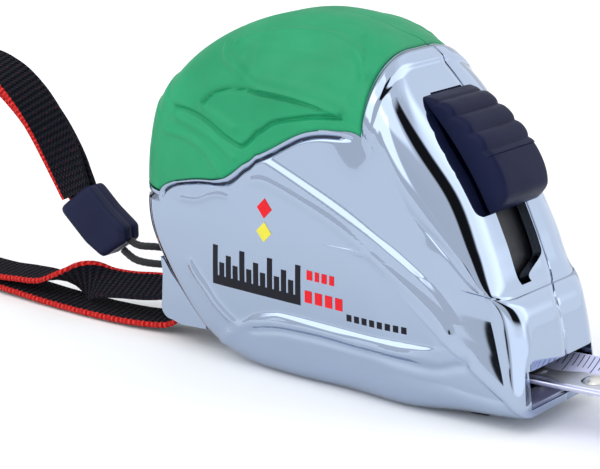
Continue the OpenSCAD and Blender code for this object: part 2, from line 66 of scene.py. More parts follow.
# ---------------------------------------------------------------- helpers
def new_object(name, points, faces, body, smooth=35, material=None, uv=None):
    """A mesh object from points in millimetres. smooth is the angle above which an edge stays sharp."""
    mesh = bpy.data.meshes.new(name)
    mesh.from_pydata((np.asarray(points, float) * MM).tolist(), [], faces)
    if uv is not None:
        layer = mesh.uv_layers.new(name="UVMap")
        loops = np.zeros(len(mesh.loops), int)
        mesh.loops.foreach_get("vertex_index", loops)
        layer.data.foreach_set("uv", np.asarray(uv, np.float32)[loops].ravel())
    obj = bpy.data.objects.new(name, mesh)
    bpy.context.scene.collection.objects.link(obj)
    bm = bmesh.new()
    bm.from_mesh(mesh)
    bmesh.ops.recalc_face_normals(bm, faces=bm.faces)
    bm.to_mesh(mesh)
    bm.free()
    mesh.polygons.foreach_set("use_smooth", [True] * len(mesh.polygons))
    mesh.set_sharp_from_angle(angle=math.radians(smooth))
    if material:
        mesh.materials.append(material)
    if body:
        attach(obj, body)
    return obj


def grid_faces(rows, cols, start=0, wrap=False, flip=False):
    """Quads of a grid whose points are numbered row by row."""
    out = []
    for i in range(rows - 1):
        for j in range(cols if wrap else cols - 1):
            k = (j + 1) % cols
            q = [start + i * cols + j, start + i * cols + k, start + (i + 1) * cols + k, start + (i + 1) * cols + j]
            out.append(q[::-1] if flip else q)
    return out


def tube_faces(rows, cols):
    """Faces of a tube of closed rings with both ends capped."""
    return grid_faces(rows, cols, wrap=True) + [list(range(cols)), list(range((rows - 1) * cols, rows * cols))[::-1]]


def prism_faces(m):
    """Faces of a prism between two rings of m points."""
    return grid_faces(2, m, wrap=True) + [list(range(m))[::-1], list(range(m, 2 * m))]


def run_length(points):
    """Length along a polyline up to each of its points."""
    return np.r_[0, np.cumsum(np.linalg.norm(np.diff(points, axis=0), axis=1))]


def catmull(points, steps):
    """Smooth curve through points, with steps samples to each stretch."""
    p = np.asarray(points, float)
    out = []
    for i in range(len(p) - 1):
        a, b, c, d = p[max(0, i - 1)], p[i], p[i + 1], p[min(len(p) - 1, i + 2)]
        for t in np.arange(steps) / steps:
            out.append(.5 * (2 * b + (c - a) * t + (2 * a - 5 * b + 4 * c - d) * t * t
                             + (3 * b - a - 3 * c + d) * t ** 3))
    out.append(p[-1])
    return np.array(out)


def ramp(x, low, high):
    """0 below low, 1 above high and smooth in between."""
    t = np.clip((x - low) / (high - low), 0, 1)
    return t * t * (3 - 2 * t)


def cut(obj, cutters, smooth, material):
    """Takes the cutters away from obj and removes them, then shades obj again."""
    for c in cutters:
        m = obj.modifiers.new("cut", "BOOLEAN")
        m.operation, m.object, m.solver = "DIFFERENCE", c, "MANIFOLD"
    dg = bpy.context.evaluated_depsgraph_get()
    mesh = bpy.data.meshes.new_from_object(obj.evaluated_get(dg))
    obj.modifiers.clear()
    old = obj.data
    obj.data = mesh
    bpy.data.meshes.remove(old)
    mesh.name = obj.name
    for c in cutters:
        bpy.data.objects.remove(c)
    mesh.polygons.foreach_set("use_smooth", [True] * len(mesh.polygons))
    mesh.set_sharp_from_angle(angle=math.radians(smooth))
    if not mesh.materials:
        mesh.materials.append(material)


# ---------------------------------------------------------------- materials
def material(name, base, rough, metal=0.0, coat=0.0, sheen=0.0, spec=0.5, coat_rough=0.1):
    m = bpy.data.materials.new(name)
    m.use_nodes = True
    s = m.node_tree.nodes["Principled BSDF"].inputs
    s["Base Color"].default_value = (*base, 1)
    s["Roughness"].default_value = rough
    s["Metallic"].default_value = metal
    s["Coat Weight"].default_value = coat
    s["Coat Roughness"].default_value = coat_rough
    s["Sheen Weight"].default_value = sheen
    s["Specular IOR Level"].default_value = spec
    return m


def node(m, kind, **settings):
    n = m.node_tree.nodes.new(kind)
    for key, value in settings.items():
        if key in n.inputs:
            n.inputs[key].default_value = value
        else:
            setattr(n, key.lower().replace(" ", "_"), value)
    return n


def link(m, a, b):
    m.node_tree.links.new(a, b)


def noise(m, scale, detail=4.0, coord="Object", stretch=None):
    tc = node(m, "ShaderNodeTexCoord")
    out = tc.outputs[coord]
    if stretch:
        mp = node(m, "ShaderNodeMapping")
        mp.inputs["Scale"].default_value = stretch
        link(m, out, mp.inputs["Vector"])
        out = mp.outputs["Vector"]
    n = node(m, "ShaderNodeTexNoise", Scale=scale, Detail=detail)
    link(m, out, n.inputs["Vector"])
    return n.outputs["Fac"]


def spread(m, fac, low, high, a=.3, b=.7):
    """Maps a 0 to 1 value from a..b to low..high."""
    n = node(m, "ShaderNodeMapRange")
    n.inputs["From Min"].default_value, n.inputs["From Max"].default_value = a, b
    n.inputs["To Min"].default_value, n.inputs["To Max"].default_value = low, high
    link(m, fac, n.inputs["Value"])
    return n.outputs["Result"]


def tint(m, fac, first, second, a=.3, b=.7):
    """Colour between two by a value."""
    n = node(m, "ShaderNodeValToRGB")
    n.color_ramp.elements[0].position, n.color_ramp.elements[1].position = a, b
    n.color_ramp.elements[0].color = (*first, 1)
    n.color_ramp.elements[1].color = (*second, 1)
    link(m, fac, n.inputs["Fac"])
    return n.outputs["Color"]


def bump(m, height, strength, distance):
    n = node(m, "ShaderNodeBump")
    n.inputs["Strength"].default_value = strength
    n.inputs["Distance"].default_value = distance
    link(m, height, n.inputs["Height"])
    link(m, n.outputs["Normal"], m.node_tree.nodes["Principled BSDF"].inputs["Normal"])


def shader(m):
    return m.node_tree.nodes["Principled BSDF"].inputs


def plated(name, base, rough, scale=900, wear=.035):
    """Bright plating: very fine unevenness and a slight haze."""
    m = material(name, base, rough, metal=1.0)
    link(m, spread(m, noise(m, 60, 3), rough, rough + wear), shader(m)["Roughness"])
    link(m, tint(m, noise(m, 25, 2), base, tuple(min(1, c * 1.04) for c in base)), shader(m)["Base Color"])
    bump(m, noise(m, scale, 2), .02, .00002)
    return m


def plastic(name, base, rough, grain=2500, depth=.00003, strength=.25, lighter=1.25, **more):
    m = material(name, base, rough, **more)
    link(m, tint(m, noise(m, 90, 4), base, tuple(min(1, c * lighter) for c in base)), shader(m)["Base Color"])
    link(m, spread(m, noise(m, 220, 4), rough - .05, rough + .07), shader(m)["Roughness"])
    bump(m, noise(m, grain, 3), strength, depth)
    return m


def steel(name, base, rough, stretch=(1, 1, 30)):
    m = material(name, base, rough, metal=1.0)
    f = noise(m, 160, 4, stretch=stretch)
    link(m, tint(m, f, tuple(c * .85 for c in base), base), shader(m)["Base Color"])
    link(m, spread(m, f, rough - .06, rough + .1), shader(m)["Roughness"])
    bump(m, f, .15, .00002)
    return m


chrome = plated("case_chrome", (.345, .412, .535), .03)
clip_chrome = plated("clip_chrome", (.66, .70, .76), .08)
nickel = plated("rivet_nickel", (.66, .65, .63), .2, 1500, .15)
tang_metal = plated("tang_nickel", (.74, .75, .82), .36, 1500, .1)
rubber = plastic("grip_rubber", (.007, .236, .100), .5, 3200, .00005, .3, 1.2, spec=.3)
navy = plastic("lock_plastic", (.0075, .0095, .030), .34, 2600, .00002, .2, 1.4, spec=.05)
# the lock slider's dark plastic, darkened to near black as painted shade of the slot's inside
dark = plastic("slider_dark_and_slot_shade", (.004, .004, .006), .5)
# painted shade: a dark colour for the faces deep in the groove along the grip's border
seam_painted_shade = plastic("seam_painted_shade", (.010, .014, .035), .3)
reel_white = plastic("reel_plastic", (.78, .75, .66), .45)
bare_steel = steel("spring_steel", (.52, .53, .55), .3)
wear_metal = steel("wear_metal", (.62, .63, .74), .5)
black_steel = steel("screw_steel", (.10, .10, .11), .38)
post_metal = steel("post_aluminium", (.62, .63, .66), .3)
ink_black = plastic("print_black", (.003, .003, .008), .3, 4000, .00001, .1, spec=.2)
ink_red = plastic("print_red", (.60, .006, .014), .3, 4000, .00001, .1, 1.1, spec=.2)
ink_yellow = plastic("print_yellow", (.62, .56, .03), .3, 4000, .00001, .1, 1.1)
blade_paint = plastic("blade_paint", (.60, .62, .86), .22, 3000, .00001, .1, 1.06, coat=.4)
cord_textile = plastic("cord_textile", (.006, .006, .008), .75, 1500, .0002, .8, 2.5, sheen=.3)
clasp_plastic = plastic("clasp_plastic", (.008, .010, .030), .38, 2600, .00002, .2, 1.5, spec=.08)


# webbing width, thickness and rib spacing, cord diameter, and each layer's distance from the shared route
WEB_W, WEB_T, WEB_RIB, CORD_D, LAYER_GAP = 8.0, 1.1, 1.25, 1.5, .95


def woven():
    """Ribbed black webbing. U runs across it from 0 to 1, V along it in millimetres."""
    m = material("webbing", (.003, .004, .010), .85, sheen=.03, spec=.08)
    tc = node(m, "ShaderNodeTexCoord")
    sep = node(m, "ShaderNodeSeparateXYZ")
    link(m, tc.outputs["UV"], sep.inputs[0])

    def wave(out, freq):
        mul = node(m, "ShaderNodeMath", operation="MULTIPLY")
        mul.inputs[1].default_value = freq
        link(m, out, mul.inputs[0])
        sine = node(m, "ShaderNodeMath", operation="SINE")
        link(m, mul.outputs[0], sine.inputs[0])
        return sine.outputs[0]

    across = wave(sep.outputs["X"], 2 * math.pi * 11)
    along = wave(sep.outputs["Y"], 2 * math.pi / WEB_RIB)
    prod = node(m, "ShaderNodeMath", operation="MULTIPLY")
    link(m, across, prod.inputs[0])
    link(m, along, prod.inputs[1])
    rib = node(m, "ShaderNodeMath", operation="ADD")
    link(m, along, rib.inputs[0])
    link(m, prod.outputs[0], rib.inputs[1])
    bump(m, rib.outputs[0], .9, .00022)
    # red threads show here and there in the ribs
    fleck = noise(m, 3.2, 3, "UV", (14, .8, 1))
    more = node(m, "ShaderNodeMath", operation="MULTIPLY")
    link(m, spread(m, fleck, 0, 1, .54, .72), more.inputs[0])
    link(m, spread(m, along, 0, 1, -.2, .9), more.inputs[1])
    body = tint(m, more.outputs[0], (.004, .005, .010), (.26, .010, .014), .3, 1.0)
    edge = node(m, "ShaderNodeMath", operation="LESS_THAN")
    edge.inputs[1].default_value = .105
    link(m, sep.outputs["X"], edge.inputs[0])
    red = tint(m, wave(sep.outputs["Y"], 2 * math.pi / .9), (.50, .012, .012), (.80, .05, .04), .2, .8)
    mix = node(m, "ShaderNodeMix", data_type="RGBA")
    link(m, edge.outputs[0], mix.inputs[0])
    link(m, body, mix.inputs[6])
    link(m, red, mix.inputs[7])
    link(m, mix.outputs[2], shader(m)["Base Color"])
    return m


webbing = woven()

# ---------------------------------------------------------------- wrist strap
# The same routes as the CAD strap, in millimetres: x, y, z and the direction across the webbing.
PAIR_ROUTE = [
    (-80, -9.6, 2.7, 0, 1, .1), (-90, -9.5, 3.6, 0, 1, 0), (-99, -8.5, 8, 0, 1, 0),
    (-105.5, -8, 16, 0, 1, 0), (-107.5, -7.5, 25, 0, 1, 0), (-104.5, -7, 34, 0, 1, 0),
    (-97.5, -6.5, 40.5, 0, 1, .1), (-89, -6, 42.8, .1, 1, .25), (-82, -6, 41.4, .2, .9, .4),
    (-76, -6, 37.8, .4, .75, .5), (-71, -6, 33.1, .55, .6, .55), (-66.8, -6, 27.8, .7, .4, .6),
    (-64.2, -6, 23.8, .75, .15, .62), (-62.7, -6, 21.4, .77, 0, .64)]
UPPER_ROUTE = [
    (-31.65, -6.6, 6.8, 0, 1, 0), (-32.2, -6.6, 8.2, 0, 1, 0), (-33.6, -6.6, 8.75, 0, 1, 0),
    (-35.6, -6.6, 8.6, 0, 1, .1), (-38.4, -7.2, 8.1, 0, .95, .3), (-43, -8, 7.5, 0, .9, .42),
    (-49, -8.6, 6.7, 0, .9, .42), (-54, -8.8, 6.1, 0, .8, .6), (-58, -8.9, 5.6, 0, 0, 1),
    (-62, -9.1, 5.1, 0, -.8, .6), (-67, -9.3, 4.6, 0, -1, 0), (-73, -9.5, 4.1, 0, -1, -.1)]
LOWER_ROUTE = [
    (-31.65, -6.6, 6.7, 0, 1, 0), (-32.2, -6.6, 5.3, 0, 1, 0), (-33.4, -6.6, 4.2, 0, 1, 0),
    (-35.2, -6.7, 3.1, 0, 1, 0), (-38, -7.4, 2.1, 0, 1, .1), (-45, -8.8, 1.5, 0, 1, .1),
    (-54, -9.6, 1.3, 0, 1, .1), (-64, -9.8, 1.3, 0, 1, .1), (-72, -9.7, 1.5, 0, 1, .1)]
CORD_ROUTE = [
    (-51.6, -6, 12.4), (-48.4, -5.6, 10.9), (-44, -3.6, 10.6), (-39.6, 0, 10.8), (-36, 3.6, 10),
    (-33.6, 4.4, 8.85), (-32.15, 4.6, 8.25), (-31.55, 4.8, 6.8), (-32.15, 5, 5.35), (-33.6, 5.2, 4.75),
    (-35.3, 5.6, 5.6), (-37.4, 5.4, 8.2), (-40.4, 2, 11.8), (-44.6, -3, 13.6), (-48, -5.6, 13.9),
    (-50.4, -6, 14.8)]


def unit(v):
    return v / np.linalg.norm(v, axis=-1, keepdims=True)


def frames(path):
    """Tangent, width and thickness directions along a path of x, y, z, across."""
    p, w = path[:, :3], path[:, 3:]
    t = np.empty_like(p)
    t[1:-1], t[0], t[-1] = p[2:] - p[:-2], p[1] - p[0], p[-1] - p[-2]
    t = unit(t)
    w = unit(w - (w * t).sum(1)[:, None] * t)
    return t, w, np.cross(t, w)


def layer(route, side, turned):
    """One of the two layers that run together, to either side of their common route."""
    r = np.array(route, float)
    _, _, h = frames(r)
    return np.hstack([r[:, :3] + side * LAYER_GAP * h, turned * r[:, 3:]])


def strap(name, route, flip, stands_for):
    """Woven band with rounded, slightly beaded edges and cross ribs."""
    path = catmull(route, 14)
    step = run_length(path[:, :3])
    # even spacing of 0.3 mm keeps the ribs regular
    at = np.linspace(0, step[-1], int(step[-1] / .3))
    path = np.stack([np.interp(at, step, path[:, k]) for k in range(6)], 1)
    _, w, h = frames(path)
    half = WEB_W / 2 - .12
    u = np.linspace(-1, 1, 25)
    edge = np.clip((1 - np.abs(u)) / .10, 0, 1)
    thick = (WEB_T / 2 - .16) * np.sqrt(1 - (1 - edge) ** 2) + .03
    bead = .10 * np.exp(-((np.abs(u) - .90) / .06) ** 2)
    ring_u = np.r_[u, u[::-1][1:-1]]
    ring_h = np.r_[thick + bead, -(thick + bead)[::-1][1:-1]]
    sign = np.r_[np.ones(25), -np.ones(23)]
    rib = .07 * np.sin(2 * math.pi * at / WEB_RIB)[:, None] * (np.abs(ring_u) < .84) * sign
    pts = path[:, None, :3] + w[:, None, :] * (ring_u * half)[None, :, None] \
        + h[:, None, :] * (ring_h[None, :] + rib)[..., None]
    n, m = len(path), len(ring_u)
    across = (ring_u + 1) / 2 if not flip else (1 - ring_u) / 2
    uv = np.stack([np.broadcast_to(across, (n, m)), np.broadcast_to(at[:, None], (n, m))], -1).reshape(-1, 2)
    obj = new_object(name, pts.reshape(-1, 3), tube_faces(n, m), "case", 50, webbing, uv)
    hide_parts(stands_for)
    return obj, path[:, :3] * MM, step[-1] * MM


upper_band, upper_path, upper_length = strap(
    "strap_band_upper", np.vstack([UPPER_ROUTE, layer(PAIR_ROUTE, -1, -1)]), True, "strap_webbing_upper")
lower_band, lower_path, lower_length = strap(
    "strap_band_lower", np.vstack([LOWER_ROUTE, layer(PAIR_ROUTE, 1, 1)]), False, "strap_webbing_lower")


def braided_cord():
    """Round cord of three strands laid round each other."""
    route = np.array([(*p, .3, 1, .2) for p in CORD_ROUTE], float)
    path = catmull(route, 16)
    step = run_length(path[:, :3])
    _, w, h = frames(path)
    m = 24
    a = np.arange(m) * 2 * math.pi / m
    r = CORD_D / 2 - .04 + .07 * np.abs(np.sin(1.5 * (a[None, :] + step[:, None] * 2.0))) - .05
    pts = path[:, None, :3] + w[:, None, :] * (np.cos(a) * r)[..., None] + h[:, None, :] * (np.sin(a) * r)[..., None]
    obj = new_object("strap_loop_cord", pts.reshape(-1, 3), tube_faces(len(path), m), "case", 60, cord_textile)
    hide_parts("strap_cord")
    return obj, path[:, :3] * MM, step[-1] * MM


loop_cord, cord_path, cord_length = braided_cord()


def clasp():
    """Moulded clasp: rounded block with a waist line."""
    outline = [(-66.0, 18.1), (-59.0, 24.1), (-54.4, 20.4), (-49.6, 17.4), (-49.4, 14.8), (-54.9, 10.6), (-59.2, 12.7)]
    mid = np.mean(outline, 0)
    ys = np.linspace(-1, 1, 15)
    pts = []
    corners = np.array(outline)
    dense = np.array([a * (1 - t) + b * t for a, b in zip(corners, np.roll(corners, -1, 0))
                      for t in np.linspace(0, 1, 12, endpoint=False)])
    for _ in range(3):
        dense = (np.roll(dense, 1, 0) + dense * 2 + np.roll(dense, -1, 0)) / 4
    for y in ys:
        pull = 1 - .16 * max(0, (abs(y) - .72) / .28) ** 2
        waist = 1 - .03 * math.exp(-(y / .08) ** 2)
        for p in dense:
            q = mid + (p - mid) * pull * waist
            pts.append((q[0], -6.0 + y * 2.55, q[1]))
    m = len(dense)
    faces = grid_faces(len(ys), m, wrap=True)
    for row, sign in ((0, 1), (len(ys) - 1, -1)):
        prev = list(range(row * m, row * m + m))
        for shrink, rise in ((.93, .10), (.6, .16), (.25, .18)):
            start = len(pts)
            for j in range(m):
                b = np.array(pts[row * m + j])
                heart = np.array([mid[0], b[1], mid[1]])
                q = heart + (b - heart) * shrink
                pts.append((q[0], b[1] - sign * rise * .2, q[2]))
            cur = list(range(start, start + m))
            faces += [[prev[j], prev[(j + 1) % m], cur[(j + 1) % m], cur[j]] for j in range(m)]
            prev = cur
        faces.append(prev)
    obj = new_object("strap_clasp_block", pts, faces, "case", 40, clasp_plastic)
    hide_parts("strap_clasp")
    return obj


clasp_block = clasp()

# ---------------------------------------------------------------- case surface
# Ribs round the case: rim x, rim z, shoulder depth, flat half width, half width at the crease,
# share of the rib that the grip covers, y of the seam.
RIBS = np.array([
    (40.6, 4.0, 4.2, 9.5, 13.7, .30, 1.5), (39.7, 10.5, 5.0, 8.8, 13.5, .30, 1.5),
    (38.4, 16.5, 5.2, 8.4, 13.4, .30, 1.5), (36.6, 21.0, 4.4, 8.2, 13.6, .30, 1.5),
    (33.2, 23.9, 2.6, 8.6, 14.4, .30, 5.5), (30.2, 30.2, 4.2, 8.4, 15.8, .35, 5.5),
    (25.4, 38.7, 7.0, 7.9, 17.1, .40, 5.5), (19.3, 46.3, 8.0, 7.8, 17.8, .40, 5.5),
    (13.2, 53.3, 9.4, 7.4, 17.5, .42, 5.5), (8.0, 59.1, 12.4, 3.2, 16.4, .41, 3),
    (3.8, 61.5, 13.0, 2.0, 16.5, .44, 0), (-3.0, 63.0, 12.8, 1.8, 17.4, .50, 0),
    (-12.3, 63.0, 12.2, 2.0, 18.1, .65, 0), (-21.0, 60.8, 11.6, 2.6, 18.4, .69, 0),
    (-29.0, 56.8, 10.8, 2.9, 18.5, .71, 0), (-35.0, 51.8, 10.0, 3.2, 18.4, .70, 0),
    (-39.5, 45.5, 10.2, 3.7, 18.0, .64, 0), (-41.8, 38.0, 9.4, 4.0, 17.4, .49, 0),
    (-42.0, 29.8, 8.2, 4.5, 16.9, .26, 0), (-41.0, 24.0, 7.0, 5.8, 16.9, .30, 0),
    (-38.6, 19.0, 6.2, 7.2, 17.0, .30, 0), (-34.0, 13.2, 5.3, 7.8, 17.3, .30, 0),
    (-29.0, 8.0, 5.0, 8.9, 17.4, .30, 0), (-23.6, 3.2, 5.7, 9.6, 17.3, .30, 0),
    (-16.0, 0.0, 7.2, 9.6, 17.1, .30, 0), (-6.0, -0.2, 7.6, 10.8, 17.2, .30, 0),
    (6.0, -0.2, 8.4, 9.8, 16.9, .30, 0), (18.0, 0.0, 7.4, 10.4, 16.8, .30, 0.8),
    (28.0, 1.4, 6.6, 10.0, 15.6, .30, 1.5), (36.0, 2.3, 5.3, 10.2, 14.3, .30, 1.5),
    (39.6, 2.8, 4.7, 9.8, 13.6, .30, 1.5)])
SPINE_X, SPINE_Z, FACE = 12.0, 27.0, 18.8
GRIP_FROM, GRIP_TO, GRIP_T, WALL = 9, 18, 1.6, 1.8


def rib(s):
    """The ribs' seven values at s, counted in ribs, smooth in between."""
    s = np.asarray(s, float)
    i = np.floor(s).astype(int)
    t = (s - i)[..., None]
    a, b, c, d = (RIBS[(i + k) % len(RIBS)] for k in (-1, 0, 1, 2))
    return .5 * (2 * b + (c - a) * t + (2 * a - 5 * b + 4 * c - d) * t * t + (3 * b - a - 3 * c + d) * t ** 3)


def rib_line(r):
    """Length and direction from the rim to the spine, the level line in the middle of the side."""
    q = np.stack([np.clip(r[..., 0], -SPINE_X, SPINE_X), np.full(r.shape[:-1], SPINE_Z)], -1) - r[..., :2]
    l = np.linalg.norm(q, axis=-1)
    return l, q / l[..., None]


def base(s, inset):
    """Point of the right (-Y) face, inset millimetres in from the rim."""
    r = rib(s)
    l, q = rib_line(r)
    inset = np.minimum(inset, l)
    d = r[..., 2]
    k = np.clip((inset - d) / (l - d), 0, 1)
    w = np.where(inset < d,
                 r[..., 3] + (r[..., 4] - r[..., 3]) * np.sqrt(np.clip(1 - (1 - inset / d) ** 2, 0, 1)),
                 r[..., 4] + (FACE - r[..., 4]) * (1 - (1 - k) ** 2))
    p = r[..., :2] + q * inset[..., None]
    return np.stack([p[..., 0], -w, p[..., 1]], -1)


def normals(p, wrap):
    """Outward normals of a grid of points on the right face, rows across and columns round."""
    du = (np.roll(p, -1, 1) - np.roll(p, 1, 1)) if wrap else np.gradient(p, axis=1)
    dv = np.gradient(p, axis=0)
    n = unit(np.cross(du, dv) + 1e-12)
    centre = np.array([0, 0, 30.0])
    flip = np.sign(((p - centre) * n).sum(-1, keepdims=True))
    return n * np.where(flip == 0, 1, flip)


def line(points, steps=10):
    """3-D polyline of a feature given as [rib, inset] pairs."""
    c = catmull(points, steps)
    return base(c[:, 0], c[:, 1])


def away(p, poly):
    """Distance of each point from a polyline."""
    flat = p.reshape(-1, 3)
    best = np.full(len(flat), 1e9)
    for a, b in zip(poly[:-1], poly[1:]):
        ab = b - a
        t = np.clip(((flat - a) @ ab) / max(ab @ ab, 1e-9), 0, 1)
        best = np.minimum(best, np.linalg.norm(flat - a - t[:, None] * ab, axis=1))
    return best.reshape(p.shape[:-1])


def flat_away(p, points):
    """Distance in x and z from a smooth line of x, z points."""
    c = catmull(points, 8)
    flat = np.stack([p[..., 0], np.zeros(p.shape[:-1]), p[..., 2]], -1)
    return away(flat, np.stack([c[:, 0], np.zeros(len(c)), c[:, 1]], -1))


def flat_above(p, points):
    """Height of p over a line of x, z points that runs along X."""
    c = catmull(points, 8)
    return p[..., 2] - np.interp(p[..., 0], c[:, 0], c[:, 1])


def soft(d, w=1):
    """Smooth bump, 1 at distance 0 and w wide."""
    return np.exp(-(d / w) ** 2)


# features of the side face, as x, z
DIAGONAL = [(-12, 39.6), (-7.5, 38.2), (4.3, 33.7), (12.8, 30.0), (19.2, 26.4), (24.5, 22.4), (28.0, 18.2)]
INNER_EDGE = [(-12.3, 35.2), (-9.5, 35.5), (-2.1, 33.4), (5.1, 30.9), (10.4, 28.3), (17.5, 24.3), (23, 20.5),
              (26.2, 17.5), (26.9, 15.4), (25.4, 13.9)]
PANEL_LOW = [(-14, 9.8), (-11.8, 11.2), (-7.7, 12.5), (-4.4, 12.9), (7.0, 12.8), (15.0, 12.9), (22.7, 13.2),
             (27, 14.0), (31, 15.4)]
CREST = [(-19.8, 4.0), (-15.7, 7.5), (-12.7, 9.2), (-7.3, 10.6), (-1.3, 11.1), (5.0, 11.2), (11.1, 11.0),
         (18.9, 11.2), (26.1, 11.8)]
# and as [rib, inset]
SWOOSH_LOW = [(24.44, 8.7), (24.94, 9.9), (25.58, 10.3), (26.16, 10.1), (26.9, 10.2), (27.92, 9.3), (28.5, 10),
              (29.22, 11.7), (30.66, 13.3)]
REAR_LINE = [(20.2, 11.5), (20.68, 10.2), (21.46, 8.8), (22.66, 9.0), (23.72, 8.5)]
UNDER_LINE = [(17.9, 13.4), (17.44, 19), (15.74, 26)]
CREASE = [(8.58, 5.2), (8.26, 7.3), (7.68, 7.7), (6.92, 7.4), (6.3, 7.3), (5.3, 5.4), (4.68, 4.2), (4.1, 3),
          (3.74, 2.1)]
# features of the grip
RIDGE = [(13.26, 2.9), (13.14, 5), (12.82, 7.2), (12.1, 11.1), (11.28, 12), (10.76, 12.4), (10.06, 12.2)]
OVAL = [(12.9, 3.2), (11.88, 2.6), (11.06, 2.2), (10.06, 3), (9.5, 5)]
DIAMOND_TOP = [(14.04, 11), (13.46, 10.4), (12.68, 11.3), (12, 12.5), (11.38, 12.9), (10.6, 13.0)]
DIAMOND_LOW = [(14.08, 11.9), (13.62, 14.8), (13.08, 17.5)]
GROOVE = [(15.2, 7.5), (14.66, 10.9), (14.28, 13.5), (13.64, 18), (12.96, 20.7), (12.42, 20.6), (11.94, 19.2),
          (11.64, 17.3), (11.24, 16), (10.74, 14.6), (9.98, 12.8)]
STRIPE = [(15.96, 9), (15.56, 12), (15.1, 16), (14.92, 18.4), (14.88, 20.4), (14.88, 23.3)]
STRIPE_2 = [(15.28, 9.5), (14.72, 13.9), (14.12, 17.7), (13.44, 22.2)]
# rows from the seam to the shoulder, as shares of the flat half width
SEAM_ROWS = [0, .018, .04, .16, .34, .52, .70, .86]


def rows_of(r, plateau, shoulder, mid, rest, rest_to):
    """Half widths and insets of the rows from the seam inwards, for ribs r."""
    l, _ = rib_line(r)
    edge = r[..., 5] * l
    d = r[..., 2]
    out = []
    for t in SEAM_ROWS[:plateau]:
        out.append((np.zeros_like(l), -r[..., 6] * (1 - t) + r[..., 3] * t))
    for a in np.linspace(0, math.pi / 2, shoulder, endpoint=False):
        out.append((d * (1 - math.cos(a)), None))
    for t in np.linspace(0, 1, mid):
        out.append((d + (edge - d) * t, None))
    if rest:
        for t in np.linspace(0, 1, rest + 1)[1:] ** 1.8:
            out.append((edge + (l * rest_to - edge) * t, None))
    return out


def surface(s, plateau, shoulder, mid, rest, rest_to=.985):
    """Grid of points on the right face: rows across and columns round. Also the inset of each."""
    r = rib(s)
    pts, ins = [], []
    for inset, w in rows_of(r, plateau, shoulder, mid, rest, rest_to):
        p = base(s, inset)
        if w is not None:
            p[:, 1] = -w
        pts.append(p)
        ins.append(inset)
    return np.array(pts), np.array(ins), r


def seam_y(r, rows):
    """y of the first rows of a far half, which share the near half's seam."""
    t = np.repeat(SEAM_ROWS[:rows], len(r))
    return np.tile(r[:, 6], rows) * (1 - t) + np.tile(r[:, 3], rows) * t


